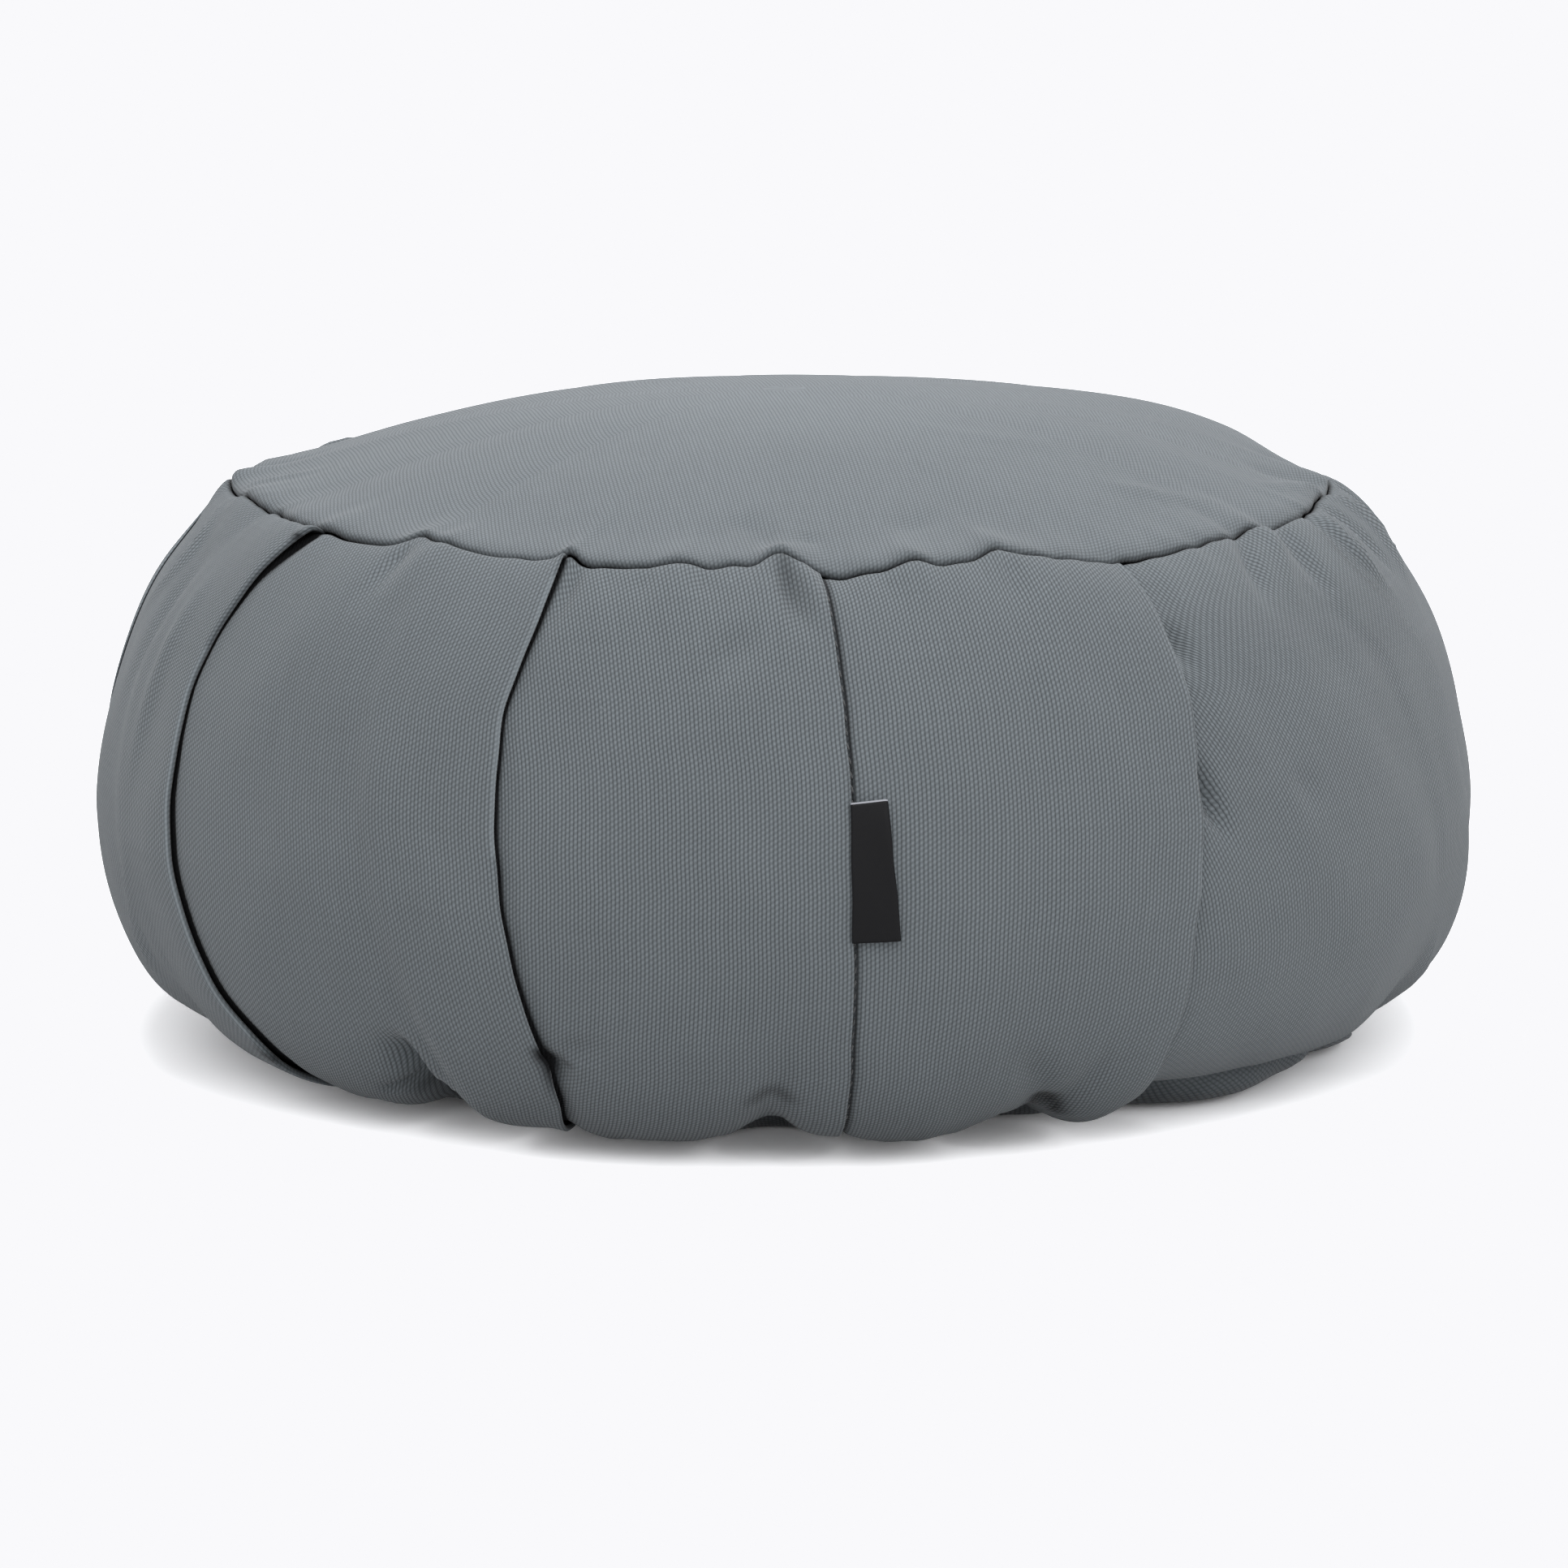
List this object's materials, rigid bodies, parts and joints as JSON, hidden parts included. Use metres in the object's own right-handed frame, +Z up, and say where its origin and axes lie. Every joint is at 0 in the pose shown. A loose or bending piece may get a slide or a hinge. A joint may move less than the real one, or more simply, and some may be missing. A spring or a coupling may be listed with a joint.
{
  "type": "zafu meditation cushion",
  "caption": "Round sitting cushion: crowned top panel, flat bottom panel and a knife-pleated side band bulging between two seams, with a bare ribbon tab in the join seam.",
  "frame": {"origin": "middle of the cushion's footprint, on the floor plane", "axes": "+Z up through the crown, -Y towards the front with the join seam and its tab, +X to the right seen from the front"},
  "size_m": [0.336, 0.3336, 0.1562],
  "materials": {
    "canvas": "slate grey cotton canvas, matt, visible weave",
    "ribbon": "near-black satin ribbon"
  },
  "bodies": {
    "root": {"side_band": "canvas", "top_panel": "canvas", "bottom_panel": "canvas", "side_tab": "ribbon"}
  },
  "joints": []
}
